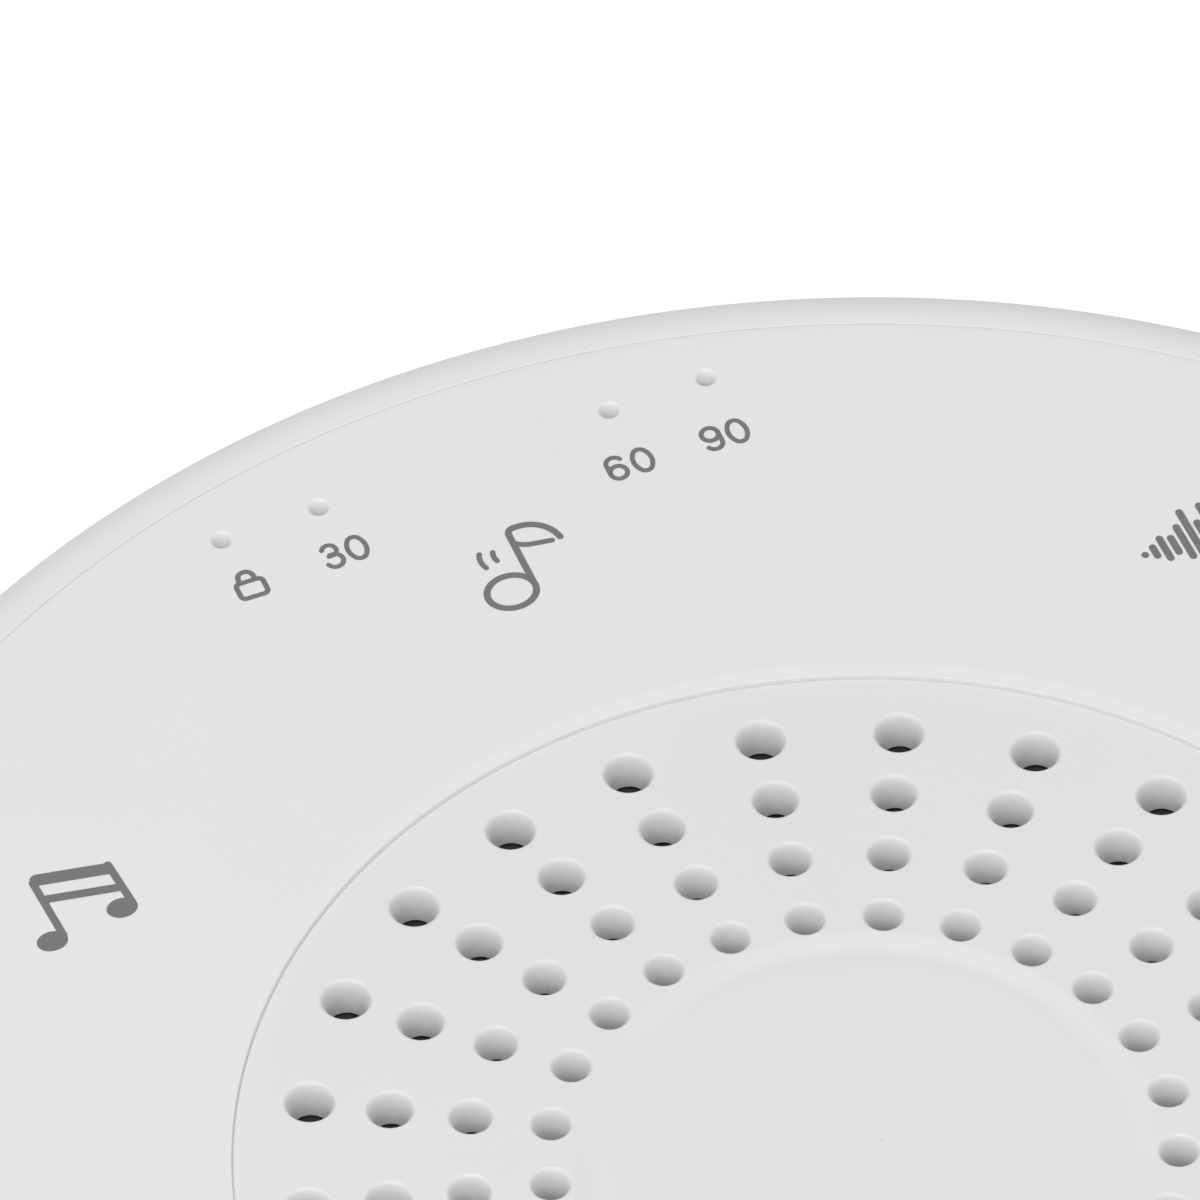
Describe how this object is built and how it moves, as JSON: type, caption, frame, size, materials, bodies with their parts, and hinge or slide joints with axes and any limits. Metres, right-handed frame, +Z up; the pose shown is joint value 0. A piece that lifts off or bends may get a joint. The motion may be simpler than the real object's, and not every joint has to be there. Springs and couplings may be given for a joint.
{
  "type": "white noise sound machine",
  "caption": "Round table-top sound machine: an annular touch panel with lamps and key symbols around a perforated grille, over a moving-coil speaker, with a USB-C inlet.",
  "frame": {"origin": "centre of the base at the table, below the middle of the grille", "axes": "+Z up out of the grille; +Y to the back, where the USB-C inlet is; +X to the right of someone who faces the lamps from the front"},
  "size_m": [0.115, 0.115, 0.054],
  "materials": {
    "shell_white": "satin moulded plastic",
    "panel_white": "smooth satin moulded plastic",
    "grille_white": "fine satin moulded plastic",
    "foot_rubber": "matt silicone rubber",
    "screw_steel": "zinc-plated steel",
    "window_clear": "milky light guide",
    "lamp_white": "moulded lamp",
    "foil_tape": "foil tape with adhesive on both sides",
    "copper": "bare copper",
    "board_green": "solder mask over glass fibre board",
    "connector_ivory": "moulded nylon",
    "ribbon_white": "flat flexible cable",
    "mesh_black": "fine woven nylon mesh",
    "foam_grey": "open-cell foam",
    "gasket_card": "pressed card",
    "frame_steel": "pressed steel, black coating",
    "terminal_board": "paper laminate",
    "contact_gold": "plated brass",
    "tinsel_braid": "braided copper foil wire",
    "surround_rubber": "soft rubber",
    "spider_cloth": "impregnated cotton",
    "cone_paper": "pressed paper pulp",
    "cap_paper": "coated paper",
    "former_film": "polyimide film",
    "winding_copper": "enamelled copper wire",
    "pole_steel": "zinc-plated steel",
    "magnet_ferrite": "ground ferrite",
    "lead_red": "soft insulation",
    "lead_black": "soft insulation",
    "plug_white": "moulded nylon",
    "chip_black": "moulded epoxy",
    "can_aluminium": "drawn can",
    "coil_ferrite": "ferrite drum",
    "part_brown": "ceramic chip parts",
    "usb_steel": "drawn stainless steel",
    "usb_black": "moulded liquid-crystal polymer",
    "label_silver": "matt foil label, bare"
  },
  "bodies": {
    "case": {"housing": "shell_white", "base": "shell_white", "rubber_feet": "foot_rubber", "base_screws": "screw_steel", "top_panel": "panel_white", "panel_screws": "screw_steel", "led_windows": "window_clear", "indicator_leds": "lamp_white", "adhesive_tape": "foil_tape", "touch_pads": "copper", "touch_board": "board_green", "touch_connector": "connector_ivory", "ribbon_cable": "ribbon_white", "board_connector": "connector_ivory", "grille": "grille_white", "dust_mesh": "mesh_black", "foam_seal": "foam_grey", "speaker_gasket": "gasket_card", "speaker_frame": "frame_steel", "speaker_screws": "screw_steel", "terminal_plate": "terminal_board", "terminal_lugs": "contact_gold", "tinsel_leads": "tinsel_braid", "surround": "surround_rubber", "spider": "spider_cloth", "pole_plate": "pole_steel", "magnet": "magnet_ferrite", "yoke": "pole_steel", "red_lead": "lead_red", "black_lead": "lead_black", "lead_plug": "plug_white", "lead_header": "connector_ivory", "main_board": "board_green", "board_screws": "screw_steel", "usb_shell": "usb_steel", "usb_tongue": "usb_black", "usb_contacts": "contact_gold", "chips": "chip_black", "capacitors": "can_aluminium", "power_coil": "coil_ferrite", "small_parts": "part_brown", "rating_label": "label_silver"},
    "cone_assembly": {"cone": "cone_paper", "dust_cap": "cap_paper", "coil_former": "former_film", "coil_winding": "winding_copper"}
  },
  "joints": [
    {"name": "cone_travel", "type": "slide", "parent": "case", "child": "cone_assembly", "axis": [0, 0, 1], "range_m": [-0.0015, 0.0015], "stiffness_N_per_m": 1800, "deforming": ["surround", "spider", "tinsel_leads"]}
  ]
}
